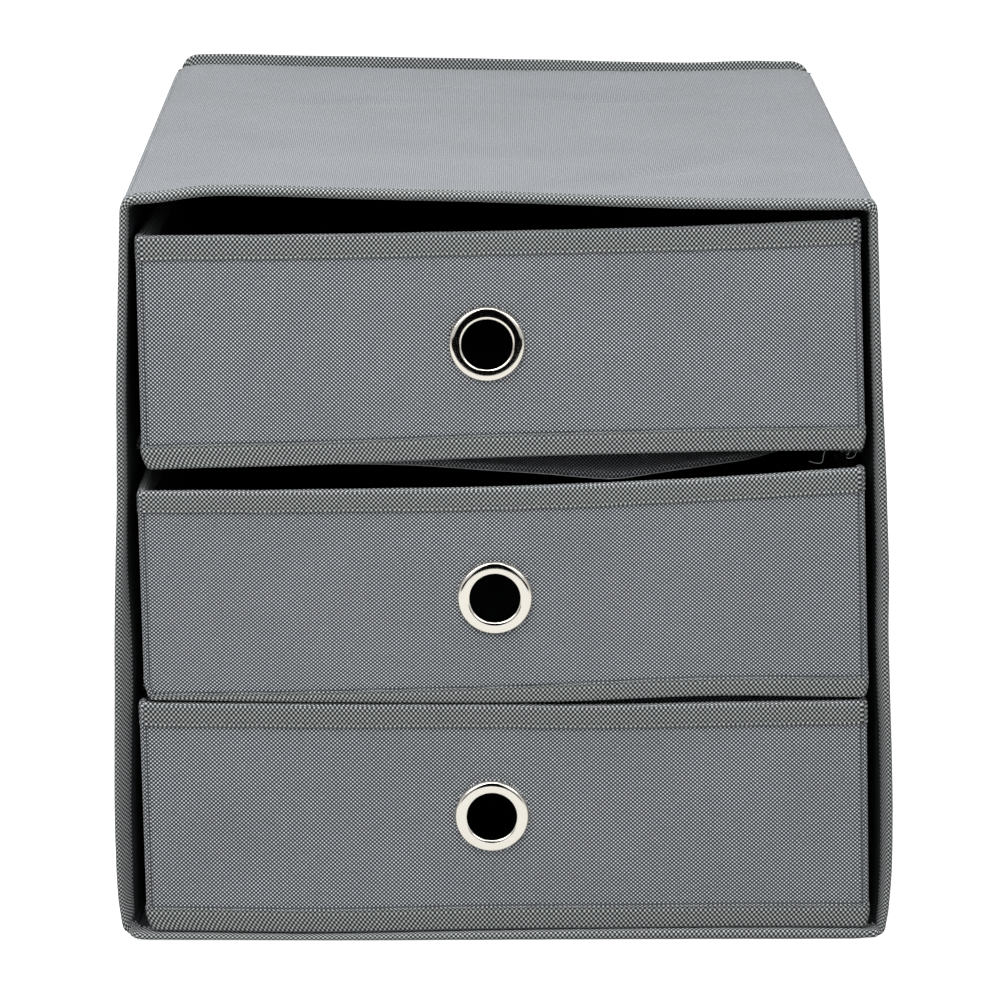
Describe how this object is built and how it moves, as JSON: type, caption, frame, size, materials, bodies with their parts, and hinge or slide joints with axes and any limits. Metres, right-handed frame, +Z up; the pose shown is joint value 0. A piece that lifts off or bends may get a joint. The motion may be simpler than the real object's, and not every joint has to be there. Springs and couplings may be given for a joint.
{
  "type": "fabric drawer cube",
  "caption": "Small cube dresser of grey fabric over board panels, open at the front, with stacked pull-out fabric drawers that have metal eyelet finger pulls.",
  "frame": {"origin": "middle of the footprint, on the surface the cube stands on", "axes": "+X to the right and +Z up as seen from the front; the drawers open toward -Y"},
  "size_m": [0.32, 0.32, 0.326],
  "materials": {
    "oxford_fabric": "matte grey Oxford weave, coated inside",
    "binding_tape": "grey nonwoven tape with embossed dots",
    "lining_fabric": "dark grey nonwoven with embossed dots",
    "greyboard": "uncoated greyboard",
    "nickel": "polished nickel plate"
  },
  "bodies": {
    "case": {"case_wrap_fabric": "oxford_fabric", "case_base_fabric": "oxford_fabric", "case_back_fabric": "oxford_fabric", "case_left_board": "greyboard", "case_right_board": "greyboard", "case_top_board": "greyboard", "case_base_board": "greyboard", "case_back_board": "greyboard", "case_lining": "lining_fabric", "case_back_lining": "lining_fabric", "case_front_binding": "binding_tape", "case_back_binding": "binding_tape", "lower_shelf_board": "greyboard", "lower_shelf_cover": "oxford_fabric", "upper_shelf_board": "greyboard", "upper_shelf_cover": "oxford_fabric"},
    "lower_drawer": {"lower_drawer_front_fabric": "oxford_fabric", "lower_drawer_body_fabric": "oxford_fabric", "lower_drawer_base_fabric": "oxford_fabric", "lower_drawer_front_board": "greyboard", "lower_drawer_left_board": "greyboard", "lower_drawer_right_board": "greyboard", "lower_drawer_back_board": "greyboard", "lower_drawer_base_board": "greyboard", "lower_drawer_lining": "lining_fabric", "lower_drawer_rim_binding": "binding_tape", "lower_drawer_base_binding": "binding_tape", "lower_drawer_eyelet": "nickel", "lower_drawer_eyelet_washer": "nickel"},
    "middle_drawer": {"middle_drawer_front_fabric": "oxford_fabric", "middle_drawer_body_fabric": "oxford_fabric", "middle_drawer_base_fabric": "oxford_fabric", "middle_drawer_front_board": "greyboard", "middle_drawer_left_board": "greyboard", "middle_drawer_right_board": "greyboard", "middle_drawer_back_board": "greyboard", "middle_drawer_base_board": "greyboard", "middle_drawer_lining": "lining_fabric", "middle_drawer_rim_binding": "binding_tape", "middle_drawer_base_binding": "binding_tape", "middle_drawer_eyelet": "nickel", "middle_drawer_eyelet_washer": "nickel"},
    "upper_drawer": {"upper_drawer_front_fabric": "oxford_fabric", "upper_drawer_body_fabric": "oxford_fabric", "upper_drawer_base_fabric": "oxford_fabric", "upper_drawer_front_board": "greyboard", "upper_drawer_left_board": "greyboard", "upper_drawer_right_board": "greyboard", "upper_drawer_back_board": "greyboard", "upper_drawer_base_board": "greyboard", "upper_drawer_lining": "lining_fabric", "upper_drawer_rim_binding": "binding_tape", "upper_drawer_base_binding": "binding_tape", "upper_drawer_eyelet": "nickel", "upper_drawer_eyelet_washer": "nickel"}
  },
  "joints": [
    {"name": "lower_drawer_slide", "type": "slide", "parent": "case", "child": "lower_drawer", "axis": [0, -1, 0], "range_m": [0, 0.24]},
    {"name": "middle_drawer_slide", "type": "slide", "parent": "case", "child": "middle_drawer", "axis": [0, -1, 0], "range_m": [0, 0.24]},
    {"name": "upper_drawer_slide", "type": "slide", "parent": "case", "child": "upper_drawer", "axis": [0, -1, 0], "range_m": [0, 0.24]}
  ]
}
